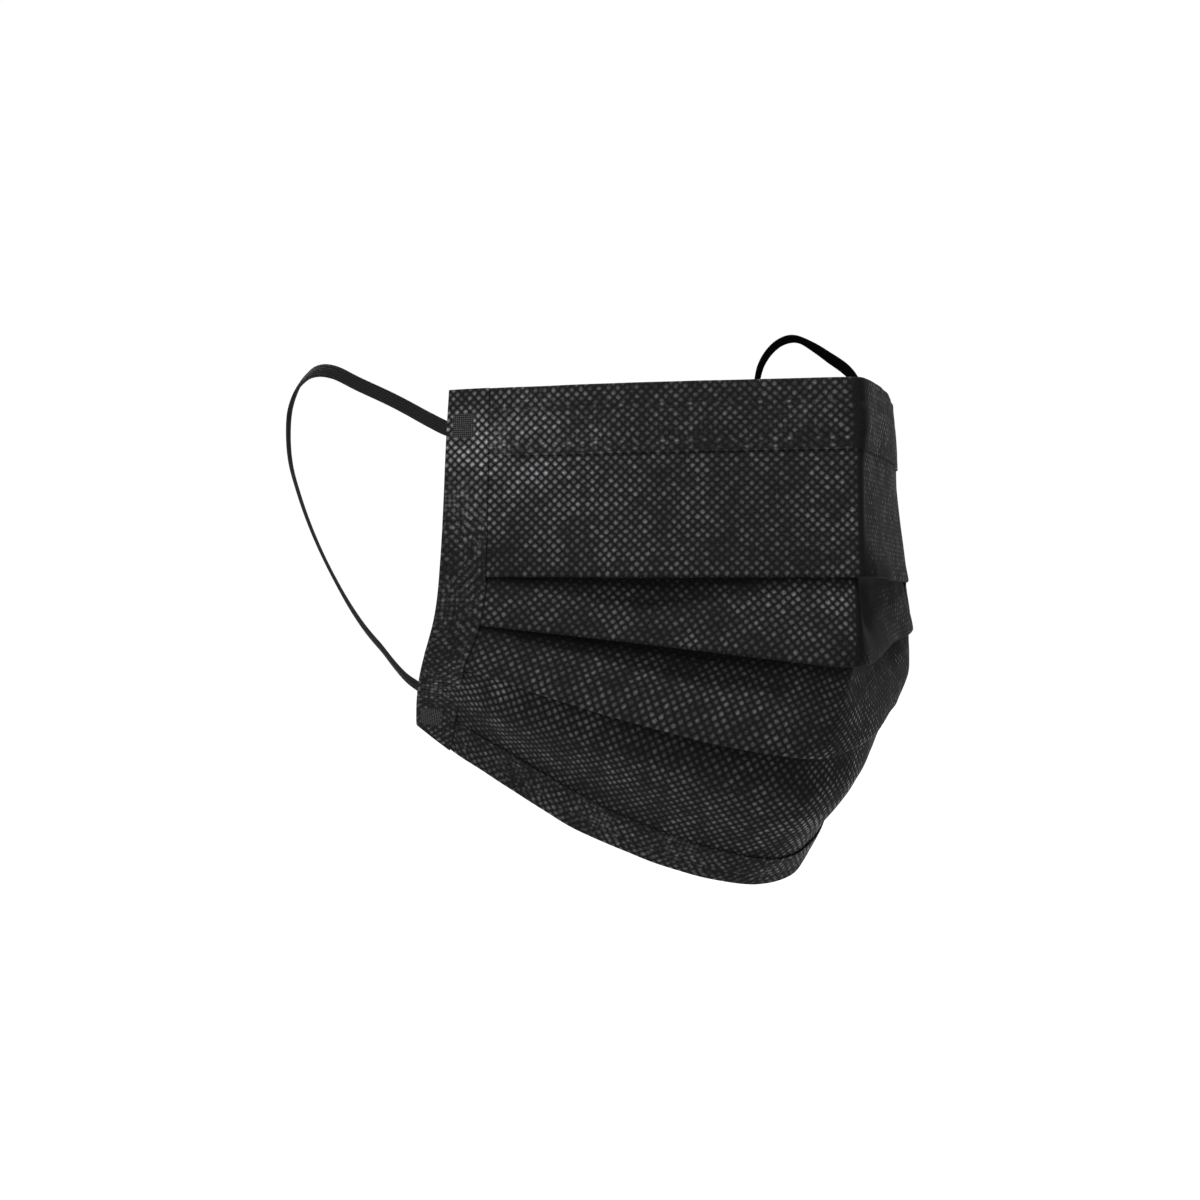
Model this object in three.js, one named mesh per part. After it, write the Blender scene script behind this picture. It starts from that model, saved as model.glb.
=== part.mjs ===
import * as THREE from "three";

// Disposable three-layer pleated face mask with two ear loops, open as it is when worn.
// Millimetres, +Z up, outer side towards -Y, wearer's right side at -X.
// The origin is the seat on the bridge of the nose: the inner face of the top hem, on the centre crease.

const seatBelowTopEdge = 5;     // the seat lies this far below the top edge
const seatBehindSurface = 4.2;  // and this far behind the outer surface

// The cloth is drawn around one smooth surface. Each row is a level line across the mask, from the
// centre crease to the side edge: a rounded crease, then one arc in plan.
// drop: place along the centre line; back: distance behind the top of the crease at the centre;
// height, sideHeight: at the centre and at the side edge, joined by a power curve of exponent rise;
// frontTurn, sideTurn: degrees that the cloth is turned back, at the crease and at the side edge;
// creaseRound: half width of the rounded crease; reach: length from the crease to the side edge.
const levelColumns = [
  "drop", "back", "height", "sideHeight", "rise", "frontTurn", "sideTurn", "creaseRound", "reach",
];
const levelTable = {
  topEdge: [0, 1.4, 0, -0.3, 1, 41, 59, 4, 87.5],
  firstFold: [39, 0.4, -39, -38.7, 1.7, 45.5, 48, 4, 87.5],
  secondFold: [57, 2.5, -56.7, -47.6, 1, 45.5, 46, 5, 87.5],
  thirdFold: [79, 13.2, -75.5, -55.2, 1.1, 32.5, 57.5, 11.5, 86.5],
  hemLine: [103.5, 28, -94.4, -64.5, 1.45, 67, 39, 22, 84],
  bottomEdge: [114, 36, -102.4, -69.3, 1.52, 58.5, 43.5, 20, 82],
};
const levels = Object.values(levelTable).map(
  (row) => Object.fromEntries(levelColumns.map((name, i) => [name, row[i]])));
const foldNames = ["firstFold", "secondFold", "thirdFold"];

const halfWidth = 87.5;         // from the crease to the side edge, along the cloth
const wall = 1;                 // thickness of each layer
const gap = 0.3;                // clearance between layers
const layer = wall + gap;       // from the middle of one layer to the middle of the next
const topHemDepth = 14;
const bottomHemDepth = 8.5;
const sideBandWidth = 10;
const pleatOverlap = 4;         // how far each pleat is folded back up behind its own edge
const pleatRise = 2.4;          // the cloth comes forward to the next fold over at least this length
const partOutDepth = -0.33;     // how deep it still lies half way there
const ribbonWidth = 3;
const ribbonThickness = 0.8;

const outerDepth = 0;                                // middle of the outermost layer of panel and hems
const bandRadius = 2 * layer + 0.25;                  // turn of a side band round the panel's edge
const bandCentreDepth = outerDepth - layer;
const stackEnd = halfWidth - bandRadius;             // side edge of the panel and the hems inside the bands

const besideStep = 0.5;         // directions out of the surface come from lines this far to each side
const levelSteps = 60;          // steps in which a level line is summed
const lineSamples = 115;        // points kept on each line down the mask
const columnCount = 23;         // lines across the panel and the hems
const evenShare = 0.4;          // share of their spacing that is even; the rest is closer at the crease
const bandRows = 19;            // rings down each side band
const loopSteps = 44;           // steps along each ear loop

const rad = THREE.MathUtils.degToRad;

// ---- the smooth surface ----

// A level line: x and y are summed along the cloth from its turn in plan, z follows the power curve.
function levelPoint(level, across) {
  const side = Math.abs(across) * level.reach / halfWidth;
  const step = side / levelSteps;
  const heightAt = (s) => level.height
    + (level.sideHeight - level.height) * Math.pow(s / level.reach, level.rise);
  let x = 0;
  let y = level.back;
  for (let i = 0; i < levelSteps; i++) {
    const s = (i + 0.5) * step;
    const turn = level.frontTurn + (level.sideTurn - level.frontTurn) * s / level.reach;
    const angle = rad(turn * Math.tanh(s / level.creaseRound));
    const climb = heightAt((i + 1) * step) - heightAt(i * step);
    const run = Math.sqrt(Math.max(step * step - climb * climb, 0));
    x += run * Math.cos(angle);
    y += run * Math.sin(angle);
  }
  return new THREE.Vector3(across < 0 ? -x : x, y, heightAt(side));
}

// Second derivatives of the natural cubic spline through values at knots.
function splineCurvatures(knots, values) {
  const n = knots.length;
  const second = new Array(n).fill(0);
  const work = new Array(n).fill(0);
  for (let i = 1; i < n - 1; i++) {
    const share = (knots[i] - knots[i - 1]) / (knots[i + 1] - knots[i - 1]);
    const pivot = share * second[i - 1] + 2;
    const slopeChange = (values[i + 1] - values[i]) / (knots[i + 1] - knots[i])
      - (values[i] - values[i - 1]) / (knots[i] - knots[i - 1]);
    second[i] = (share - 1) / pivot;
    work[i] = (6 * slopeChange / (knots[i + 1] - knots[i - 1]) - share * work[i - 1]) / pivot;
  }
  for (let i = n - 2; i > 0; i--) second[i] = second[i] * second[i + 1] + work[i];
  second[0] = 0;
  return second;
}

function splineValue(knots, values, second, t) {
  let i = 0;
  while (i < knots.length - 2 && t > knots[i + 1]) i++;
  const width = knots[i + 1] - knots[i];
  const b = (t - knots[i]) / width;
  const a = 1 - b;
  return a * values[i] + b * values[i + 1]
    + ((a * a * a - a) * second[i] + (b * b * b - b) * second[i + 1]) * width * width / 6;
}

// The line down the mask at one place across it, sampled at equal drops.
function downLine(across) {
  const knots = levels.map((level) => level.drop);
  const points = levels.map((level) => levelPoint(level, across));
  const axes = ["x", "y", "z"].map((axis) => {
    const values = points.map((p) => p[axis]);
    return { values, second: splineCurvatures(knots, values) };
  });
  const last = knots[knots.length - 1];
  return Array.from({ length: lineSamples }, (_, i) => {
    const t = last * i / (lineSamples - 1);
    return new THREE.Vector3(...axes.map((a) => splineValue(knots, a.values, a.second, t)));
  });
}

// One place across the mask: lengths along its line, the lengths at which the levels lie, and
// at(along, depth), the point that far along the line and that far out of the surface.
const stationCache = new Map();
function station(across) {
  const key = across.toFixed(4);
  if (stationCache.has(key)) return stationCache.get(key);
  const line = downLine(across);
  const before = downLine(across - besideStep);
  const after = downLine(across + besideStep);
  const lengths = [0];
  for (let i = 1; i < line.length; i++) lengths.push(lengths[i - 1] + line[i].distanceTo(line[i - 1]));
  const normals = line.map((p, i) => {
    const down = line[Math.min(i + 1, line.length - 1)].clone().sub(line[Math.max(i - 1, 0)]);
    const sideways = after[i].clone().sub(before[i]);
    return down.cross(sideways).normalize();
  });
  const total = lengths[lengths.length - 1];
  const lastDrop = levels[levels.length - 1].drop;
  const at = (along, depth) => {
    const clamped = Math.min(Math.max(along, 0), total);
    let i = 1;
    while (i < line.length - 1 && lengths[i] < clamped) i++;
    const f = (clamped - lengths[i - 1]) / (lengths[i] - lengths[i - 1]);
    const point = line[i - 1].clone().lerp(line[i], f);
    const normal = normals[i - 1].clone().lerp(normals[i], f).normalize();
    const tangent = line[i].clone().sub(line[i - 1]).normalize();
    return point.addScaledVector(normal, depth).addScaledVector(tangent, along - clamped);
  };
  const lengthAtDrop = (drop) => {
    const place = drop / lastDrop * (line.length - 1);
    const i = Math.min(Math.floor(place), line.length - 2);
    return THREE.MathUtils.lerp(lengths[i], lengths[i + 1], place - i);
  };
  const result = { at, total, folds: foldNames.map((name) => lengthAtDrop(levelTable[name][0])) };
  stationCache.set(key, result);
  return result;
}

// ---- closed sheets ----

// The two faces of a layer: its middle path moved half a wall to each side, mitred at the corners.
function layerFaces(path) {
  const normalBetween = (p, q) => {
    const length = Math.hypot(q[0] - p[0], q[1] - p[1]);
    return [-(q[1] - p[1]) / length, (q[0] - p[0]) / length];
  };
  const outer = [];
  const inner = [];
  path.forEach((p, i) => {
    const before = normalBetween(path[Math.max(i - 1, 0)], path[Math.max(i, 1)]);
    const after = normalBetween(path[Math.min(i, path.length - 2)], path[Math.min(i + 1, path.length - 1)]);
    const mitre = 1 + before[0] * after[0] + before[1] * after[1];
    const move = [(before[0] + after[0]) / mitre, (before[1] + after[1]) / mitre];
    outer.push([p[0] + move[0] * wall / 2, p[1] + move[1] * wall / 2]);
    inner.push([p[0] - move[0] * wall / 2, p[1] - move[1] * wall / 2]);
  });
  return { outer, inner };
}

// A closed body from rings of points, one ring for each step of the sweep. A ring runs along one
// face of the layer and back along the other, so its two ends are closed by strips.
function sweptBody(rings) {
  const ringSize = rings[0].length;
  const positions = rings.flat().flatMap((p) => [p.x, p.y, p.z]);
  const index = [];
  const quad = (a, b, c, d) => index.push(a, b, c, a, c, d);
  for (let r = 0; r < rings.length - 1; r++) {
    for (let k = 0; k < ringSize; k++) {
      const next = (k + 1) % ringSize;
      quad(r * ringSize + k, r * ringSize + next, (r + 1) * ringSize + next, (r + 1) * ringSize + k);
    }
  }
  const lastRing = (rings.length - 1) * ringSize;
  for (let k = 0; k < ringSize / 2 - 1; k++) {
    const back = ringSize - 1 - k;
    quad(k, back, back - 1, k + 1);
    quad(lastRing + k, lastRing + k + 1, lastRing + back - 1, lastRing + back);
  }
  if (signedVolume(positions, index) < 0) index.reverse();
  const geometry = new THREE.BufferGeometry();
  geometry.setAttribute("position", new THREE.Float32BufferAttribute(positions, 3));
  geometry.setIndex(index);
  geometry.computeVertexNormals();
  return geometry;
}

function signedVolume(positions, index) {
  const corner = (i) => new THREE.Vector3().fromArray(positions, 3 * index[i]);
  let volume = 0;
  for (let i = 0; i < index.length; i += 3) volume += corner(i).dot(corner(i + 1).cross(corner(i + 2)));
  return volume;
}

// A half turn from one depth to another at one place along the path; way is +1 for a turn that
// bulges onwards along the path and -1 for one that bulges back.
function halfTurn(along, fromDepth, toDepth, way, steps) {
  const radius = Math.abs(fromDepth - toDepth) / 2;
  const centre = (fromDepth + toDepth) / 2;
  return Array.from({ length: steps + 1 }, (_, i) => {
    const angle = Math.PI * i / steps;
    return [along + way * radius * Math.sin(angle), centre + (fromDepth - centre) * Math.cos(angle)];
  });
}

function straight(from, to, pieces) {
  return Array.from({ length: pieces - 1 }, (_, i) => {
    const f = (i + 1) / pieces;
    return [from[0] + (to[0] - from[0]) * f, from[1] + (to[1] - from[1]) * f];
  });
}

// Places across the mask, closer together at the crease.
function placesAcross() {
  return Array.from({ length: columnCount }, (_, i) => {
    const v = 2 * i / (columnCount - 1) - 1;
    return stackEnd * (evenShare * v + (1 - evenShare) * v * Math.abs(v));
  });
}

// ---- the pieces ----

// The welded body of three layers: from the top hem down to the first fold, back up behind it,
// down again to the second, and so on to the bottom hem. Each face starts behind the fold above.
function pleatedPanel() {
  const coveredDepth = outerDepth - layer;
  const behindDepth = outerDepth - 2 * layer;
  const clearOfFold = layer;
  const rings = placesAcross().map((across) => {
    const line = station(across);
    const path = [[layer, coveredDepth]];
    const pushLine = (to, pieces) => path.push(...straight(path[path.length - 1], to, pieces), to);
    pushLine([(topHemDepth + layer) / 2, coveredDepth], 1);
    pushLine([topHemDepth, coveredDepth], 1);
    path.push([topHemDepth + wall, coveredDepth]);
    line.folds.forEach((fold, i) => {
      const start = path[path.length - 1];
      const fullOut = Math.max(fold - pleatOverlap - 2 * layer, start[0] + pleatRise);
      const halfWay = i === 0 ? (start[0] + fullOut) / 2 : start[0] + pleatRise;
      const shallow = i === 0 ? (start[1] + outerDepth) / 2 : partOutDepth;
      if (fullOut - halfWay > wall) pushLine([halfWay, shallow], 1);
      else pushLine([(start[0] + fullOut) / 2, (start[1] + outerDepth) / 2], 1);
      pushLine([fullOut, outerDepth], 2);
      path.push(...halfTurn(fold, outerDepth, coveredDepth, 1, 4));
      path.push(...halfTurn(fold - pleatOverlap, coveredDepth, behindDepth, -1, 4));
      path.push([fold + clearOfFold, behindDepth]);
    });
    const start = path[path.length - 1];
    pushLine([start[0] + 2 * pleatRise, coveredDepth], 1);
    pushLine([line.total - bottomHemDepth, coveredDepth], 4);
    pushLine([line.total - layer, coveredDepth], 2);
    const { outer, inner } = layerFaces(path);
    return [...outer, ...inner.reverse()].map(([along, depth]) => line.at(along, depth));
  });
  return sweptBody(rings);
}

// A band folded over the top or the bottom edge: a leg outside, a half turn, a leg inside.
function edgeHem(depthOfHem, atBottom) {
  const rings = placesAcross().map((across) => {
    const line = station(across);
    const turn = halfTurn(layer, outerDepth, outerDepth - 2 * layer, -1, 4);
    const ends = [[depthOfHem, outerDepth], [depthOfHem, outerDepth - 2 * layer]];
    const middle = (end) => [(end[0] + layer) / 2, end[1]];
    const path = [ends[0], middle(ends[0]), ...turn, middle(ends[1]), ends[1]];
    const { outer, inner } = layerFaces(path);
    const place = (along) => atBottom ? line.total - along : along;
    return [...outer, ...inner.reverse()].map(([along, depth]) => line.at(place(along), depth));
  });
  return sweptBody(rings);
}

// A strip folded over the pleat ends at one side edge, from the top edge to the bottom edge.
function sideBand(side) {
  const inset = halfWidth - sideBandWidth;
  const outerLeg = bandCentreDepth + bandRadius;
  const innerLeg = bandCentreDepth - bandRadius;
  const turn = halfTurn(stackEnd, outerLeg, innerLeg, 1, 6);
  const path = [[inset, outerLeg], ...turn, [inset, innerLeg]];
  const { outer, inner } = layerFaces(path);
  const outline = [...outer, ...inner.reverse()];
  const rings = Array.from({ length: bandRows }, (_, i) => outline.map(([across, depth]) => {
    const line = station(side * across);
    const along = THREE.MathUtils.lerp(-wall / 2, line.total + wall / 2, i / (bandRows - 1));
    return line.at(along, depth);
  }));
  return sweptBody(rings);
}

// An ear loop's route, from its upper weld to its lower one, for the wearer's left side.
// out: from the middle plane; back: behind the crease; up: above the top edge; twist: degrees from
// a band that stands on edge in the plane of the loop towards one that lies across it.
const loopRoutes = {
  right: [
    { out: 47, back: 59, up: -10.2, twist: 4 },
    { out: 50.1, back: 63.5, up: -9.9, twist: 10 },
    { out: 52.9, back: 68, up: -8.8, twist: 14 },
    { out: 55.8, back: 73.6, up: -6.2, twist: 8 },
    { out: 59, back: 86, up: -1, twist: 3 },
    { out: 61, back: 98.6, up: 3.3, twist: 5 },
    { out: 62.2, back: 108.4, up: 6.6, twist: 15 },
    { out: 62.8, back: 115.6, up: 7.5, twist: 25 },
    { out: 63, back: 121, up: 6.6, twist: 33 },
    { out: 63.2, back: 126, up: 4, twist: 38 },
    { out: 63.3, back: 129.4, up: -0.3, twist: 38 },
    { out: 63.2, back: 130.4, up: -6.9, twist: 35 },
    { out: 63.1, back: 129.2, up: -12.6, twist: 34 },
    { out: 63, back: 125.6, up: -18.6, twist: 34 },
    { out: 62.9, back: 120.4, up: -25.4, twist: 35 },
    { out: 62.7, back: 114.2, up: -32.2, twist: 36 },
    { out: 62.4, back: 107, up: -39, twist: 36 },
    { out: 61.8, back: 99.8, up: -45.4, twist: 34 },
    { out: 60.8, back: 93.4, up: -50.6, twist: 33 },
    { out: 59.2, back: 87.2, up: -55, twist: 32 },
    { out: 56.8, back: 82, up: -58, twist: 28 },
    { out: 53.3, back: 78.5, up: -60, twist: 22 },
    { out: 49.9, back: 76.2, up: -62.5, twist: 13 },
    { out: 46.3, back: 73.4, up: -65.1, twist: 18 },
  ],
  left: [
    { out: 49.4, back: 61.4, up: -15.3, twist: 35 },
    { out: 50.9, back: 64.7, up: -10.2, twist: 33 },
    { out: 52.3, back: 68.1, up: -4.7, twist: 28 },
    { out: 54, back: 71.3, up: 1.2, twist: 18 },
    { out: 55.7, back: 74.9, up: 6.8, twist: 10 },
    { out: 57, back: 80.8, up: 11.5, twist: 12 },
    { out: 57.7, back: 90.8, up: 16.1, twist: 20 },
    { out: 58, back: 98.2, up: 19, twist: 36 },
    { out: 58.2, back: 104, up: 20.5, twist: 54 },
    { out: 58.3, back: 109.1, up: 20.7, twist: 74 },
    { out: 58.4, back: 114.2, up: 19.4, twist: 95 },
    { out: 58.4, back: 117.8, up: 17.2, twist: 108 },
    { out: 58.4, back: 120.4, up: 14, twist: 120 },
    { out: 58.5, back: 122, up: 8.5, twist: 130 },
    { out: 58.8, back: 122.2, up: 1, twist: 137 },
    { out: 59.2, back: 120.4, up: -8, twist: 143 },
    { out: 59.7, back: 117, up: -17.5, twist: 150 },
    { out: 60, back: 112.2, up: -27, twist: 160 },
    { out: 60.1, back: 106, up: -36, twist: 172 },
    { out: 59.8, back: 98.8, up: -44.5, twist: 186 },
    { out: 58.9, back: 91.4, up: -51.8, twist: 198 },
    { out: 56.8, back: 84.2, up: -57.2, twist: 206 },
    { out: 53.3, back: 78.6, up: -60, twist: 202 },
    { out: 49.9, back: 76.2, up: -62.5, twist: 192 },
    { out: 46.3, back: 73.4, up: -65.1, twist: 198 },
  ],
};

// A smooth route whose frames carry a flat band: the width direction starts square to the path in
// the plane of the loop and is turned about the path by the table's twist.
class RibbonRoute extends THREE.CatmullRomCurve3 {
  constructor(rows, side) {
    super(rows.map((row) => new THREE.Vector3(side * row.out, row.back, row.up)));
    this.twists = rows.map((row) => row.twist);
    this.side = side;
  }

  computeFrenetFrames(segments) {
    const frames = { tangents: [], normals: [], binormals: [] };
    const outward = new THREE.Vector3(this.side, 0, 0);
    for (let i = 0; i <= segments; i++) {
      const u = i / segments;
      const place = this.getUtoTmapping(u) * (this.twists.length - 1);
      const row = Math.min(Math.floor(place), this.twists.length - 2);
      const twist = rad(THREE.MathUtils.lerp(this.twists[row], this.twists[row + 1], place - row));
      const tangent = this.getTangentAt(u);
      const onEdge = tangent.clone().cross(outward).normalize().multiplyScalar(this.side);
      const across = outward.clone().addScaledVector(tangent, -outward.dot(tangent)).normalize();
      const width = onEdge.multiplyScalar(Math.cos(twist)).addScaledVector(across, Math.sin(twist));
      frames.tangents.push(tangent);
      frames.normals.push(width);
      frames.binormals.push(tangent.clone().cross(width));
    }
    return frames;
  }
}

// A flat elastic band with bevelled edges, swept along its route.
function earLoop(rows, side) {
  const w = ribbonWidth / 2;
  const t = ribbonThickness / 2;
  const bevel = t / 2;
  const section = new THREE.Shape([
    [w, t - bevel], [w - bevel, t], [bevel - w, t], [-w, t - bevel],
    [-w, bevel - t], [bevel - w, -t], [w - bevel, -t], [w, bevel - t],
  ].map(([x, y]) => new THREE.Vector2(x, y)));
  return new THREE.ExtrudeGeometry(section, { steps: loopSteps, extrudePath: new RibbonRoute(rows, side) });
}

// ---- the assembly ----

const clothColour = 0x1a1a1b;
const bandColour = 0x161617;
const elasticColour = 0x0f0f10;

function piece(name, geometry, color, roughness) {
  const mesh = new THREE.Mesh(geometry, new THREE.MeshStandardMaterial({ color, roughness, metalness: 0 }));
  mesh.name = name;
  return mesh;
}

const mask = new THREE.Group();
mask.position.set(0, -seatBehindSurface, seatBelowTopEdge);
mask.add(
  piece("pleated_panel", pleatedPanel(), clothColour, 0.9),
  piece("top_hem", edgeHem(topHemDepth, false), clothColour, 0.9),
  piece("bottom_hem", edgeHem(bottomHemDepth, true), clothColour, 0.9),
  piece("side_band_right", sideBand(-1), bandColour, 0.9),
  piece("side_band_left", sideBand(1), bandColour, 0.9),
  piece("ear_loop_right", earLoop(loopRoutes.right, -1), elasticColour, 0.8),
  piece("ear_loop_left", earLoop(loopRoutes.left, 1), elasticColour, 0.8),
);

export default mask;
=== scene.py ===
import bpy
import math
import numpy as np
from mathutils import Matrix, Vector


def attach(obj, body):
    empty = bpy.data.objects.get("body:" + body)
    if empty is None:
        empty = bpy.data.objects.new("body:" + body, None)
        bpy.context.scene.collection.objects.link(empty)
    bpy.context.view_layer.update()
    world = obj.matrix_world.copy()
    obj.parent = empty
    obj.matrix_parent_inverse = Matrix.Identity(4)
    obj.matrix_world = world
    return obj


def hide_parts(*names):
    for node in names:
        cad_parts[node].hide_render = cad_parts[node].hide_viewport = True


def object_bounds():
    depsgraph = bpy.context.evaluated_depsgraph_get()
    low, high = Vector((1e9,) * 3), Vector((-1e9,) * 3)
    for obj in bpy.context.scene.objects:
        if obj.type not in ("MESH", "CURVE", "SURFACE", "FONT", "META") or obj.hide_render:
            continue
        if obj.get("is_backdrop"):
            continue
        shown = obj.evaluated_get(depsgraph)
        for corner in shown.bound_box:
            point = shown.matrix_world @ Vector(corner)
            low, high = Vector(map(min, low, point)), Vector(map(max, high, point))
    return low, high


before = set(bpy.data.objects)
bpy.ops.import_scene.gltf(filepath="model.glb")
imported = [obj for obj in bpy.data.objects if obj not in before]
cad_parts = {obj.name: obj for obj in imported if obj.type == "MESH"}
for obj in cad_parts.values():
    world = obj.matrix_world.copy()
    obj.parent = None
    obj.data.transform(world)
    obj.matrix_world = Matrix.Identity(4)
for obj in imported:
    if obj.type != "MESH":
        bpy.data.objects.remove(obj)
cadLow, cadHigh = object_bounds()
mm = 0.001

# The tables below are in millimetres, measured from the crease at the top edge of the mask:
# across runs over the cloth from the crease to a side edge, along runs down it from the top edge,
# depth is out of the surface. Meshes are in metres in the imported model's frame.
seat = {
    "belowTopEdge": 5,      # the frame's origin lies this far below the top edge
    "behindSurface": 4.2,   # and this far behind the outer surface, at the crease
}
creaseTop = np.array([0, -seat["behindSurface"], seat["belowTopEdge"]]) * mm

cameraLook = {
    "azimuth": 30.95,       # degrees that it stands round towards the wearer's right
    "rise": 0.66,           # degrees that it looks up
    "roll": 0.14,
    "distance": 521,        # along the view, to the top of the crease
    "right": 50.84,         # the top of the crease is this far right of the middle of the view
    "above": 43.76,
    "lens": 79.76,
    "sensor": 36,
    "clipStart": 0.01,      # in metres
}


def addObject(name, data):
    # a new object in the scene
    thing = bpy.data.objects.new(name, data)
    bpy.context.scene.collection.objects.link(thing)
    return thing


def makeCamera(look):
    # view = (sin a cos e, cos a cos e, sin e), right = (cos a, -sin a, 0), up = right x view
    a, e, roll = (math.radians(look[key]) for key in ("azimuth", "rise", "roll"))
    view = Vector((math.sin(a) * math.cos(e), math.cos(a) * math.cos(e), math.sin(e)))
    right = Vector((math.cos(a), -math.sin(a), 0))
    up = right.cross(view)
    spot = Vector(creaseTop) - mm * (look["distance"] * view + look["right"] * right + look["above"] * up)
    rolledRight = right * math.cos(roll) + up * math.sin(roll)
    rolledUp = up * math.cos(roll) - right * math.sin(roll)
    turn = Matrix((rolledRight, rolledUp, -view)).transposed().to_4x4()
    data = bpy.data.cameras.new("camera")
    data.lens = look["lens"]
    data.sensor_width = look["sensor"]
    data.clip_start = look["clipStart"]
    camera = addObject("camera", data)
    camera.matrix_world = Matrix.Translation(spot) @ turn
    bpy.context.scene.camera = camera


makeCamera(cameraLook)
print("camera placed")

# The cloth is drawn around one smooth surface. Each row is a level line of it, from the crease to a
# side edge. drop: place down the centre; back: behind the top of the crease; height, sideHeight,
# rise: a power curve from the centre to the side; frontTurn, sideTurn: degrees that the cloth is
# turned back; crease: half width of the fold down the middle; mitre: the same for the layers behind
# it; reach: length from the crease to the side edge.
levelNames = "drop back height sideHeight rise frontTurn sideTurn crease mitre reach".split()
levelRows = {
    "topEdge": (0, 0, 0, -0.3, 1, 41, 59, 1, 4, 87.5),
    "foldOne": (39, -1, -39, -38.7, 1.7, 45.5, 48, 1.2, 4, 87.5),
    "foldTwo": (57, 1.3, -56.7, -47.6, 1, 45.5, 46, 2.5, 5, 87.5),
    "foldThree": (79, 13.2, -75.5, -55.2, 1.1, 32.5, 57.5, 11.5, 11.5, 86.5),
    "hemLine": (103.5, 28, -94.4, -64.5, 1.45, 67, 39, 22, 22, 84),
    "bottomEdge": (114, 36, -102.4, -69.3, 1.52, 58.5, 43.5, 20, 20, 82),
}
levels = {name: dict(zip(levelNames, row)) for name, row in levelRows.items()}

cloth = {
    "halfWidth": 87.5,       # from the crease to the side edge
    "lineReach": 1.03,       # the level lines run on to this share of their reach
    "linePoints": 2001,
    "netAcross": 0.35,       # spacing of the net that the surface is kept on
    "netDown": 0.5,
    "netTight": 0.35,        # the less, the closer its lines are at the crease
    "margin": 2,             # the net runs on this far past every edge
    "rowsApart": 1000,       # more than any length
    "squeeze": (66, 77),     # the layers are pressed together between these places
    "squeezedTo": 0.38,
    "tuckAt": (77.3, 78.5),  # panel and hems step down here, under the side bands
    "tuck": 0.34,
}

# The wearer's left side swells round one place and bends in towards its edge.
leftSide = {
    "swell": 2.3,
    "swellAcross": (60, 15),  # place and half size of the swell
    "swellAlong": (47, 13),
    "swellFade": 12,          # it is nothing at the crease and whole from here on
    "bend": 1.2,
    "bendBetween": (68, 85),
}

# Slow waves in the cloth: height times the product of two sines.
waves = [
    {"height": 0.30, "across": 67, "along": 58, "start": 0.6, "drift": 1.9},
    {"height": 0.22, "across": 38, "along": 44, "start": 2.1, "drift": 0.4},
    {"height": 0.12, "across": 23, "along": 31, "start": 4.0, "drift": 2.7},
    {"height": 0.06, "across": 13, "along": 17, "start": 1.3, "drift": 5.1},
]


def smoothStep(low, high, value):
    # 3t^2 - 2t^3 of t, the value's place between low and high
    t = np.clip((value - low) / (high - low), 0, 1)
    return t * t * (3 - 2 * t)


def hill(value, centre, size):
    # exp(-((value - centre) / size)^2)
    return np.exp(-((value - centre) / size) ** 2)


def plateau(rise, fall, value):
    # comes up between the two places of rise and goes down between the two of fall
    return smoothStep(*rise, value) * (1 - smoothStep(*fall, value))


def unit(vectors):
    # each vector over its own length
    return vectors / np.linalg.norm(vectors, axis=-1, keepdims=True)


def paired(first, second):
    # two arrays as one array of pairs
    return np.stack(np.broadcast_arrays(first, second), axis=-1)


def runningSum(steps):
    # 0, and then the sum of the steps so far
    return np.concatenate([np.zeros(steps.shape[:-1] + (1,)), np.cumsum(steps, axis=-1)], axis=-1)


def runningLength(points):
    # the length of a line up to each of its points
    return runningSum(np.linalg.norm(np.diff(points, axis=-2), axis=-1))


def columnsAcross(count, edge, tight):
    # v and v|v| mixed, so that the columns are closer together at the crease
    v = np.linspace(-1, 1, count)
    return edge * (tight * v + (1 - tight) * v * np.abs(v))


def between(values, knots, wanted):
    # linear between the two nearest rows of values
    i = np.clip(np.searchsorted(knots, wanted) - 1, 0, len(knots) - 2)
    f = (wanted - knots[i]) / (knots[i + 1] - knots[i])
    f = np.reshape(f, np.shape(wanted) + (1,) * (values.ndim - 1))
    return values[i] * (1 - f) + values[i + 1] * f


def levelCurve(level, across, crease):
    # s is the length from the crease. Turn b(s) = (front + (side - front) s / reach) tanh(s / crease);
    # x and y add up the level part of each step times cos b and sin b; z is the power curve.
    s = np.linspace(0, level["reach"] * cloth["lineReach"], cloth["linePoints"])
    middle = (s[1:] + s[:-1]) / 2
    share = s / level["reach"]
    z = level["height"] + (level["sideHeight"] - level["height"]) * share ** level["rise"]
    turn = level["frontTurn"] + (level["sideTurn"] - level["frontTurn"]) * middle / level["reach"]
    turn = np.radians(turn * np.tanh(middle / crease))
    run = np.sqrt(np.maximum(np.diff(s) ** 2 - np.diff(z) ** 2, 0))
    x = runningSum(run * np.cos(turn))
    y = level["back"] + runningSum(run * np.sin(turn))
    side = np.abs(across) * level["reach"] / cloth["halfWidth"]
    curve = [np.interp(side, s, x) * np.sign(across), np.interp(side, s, y), np.interp(side, s, z)]
    return np.stack(curve, axis=-1)


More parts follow.
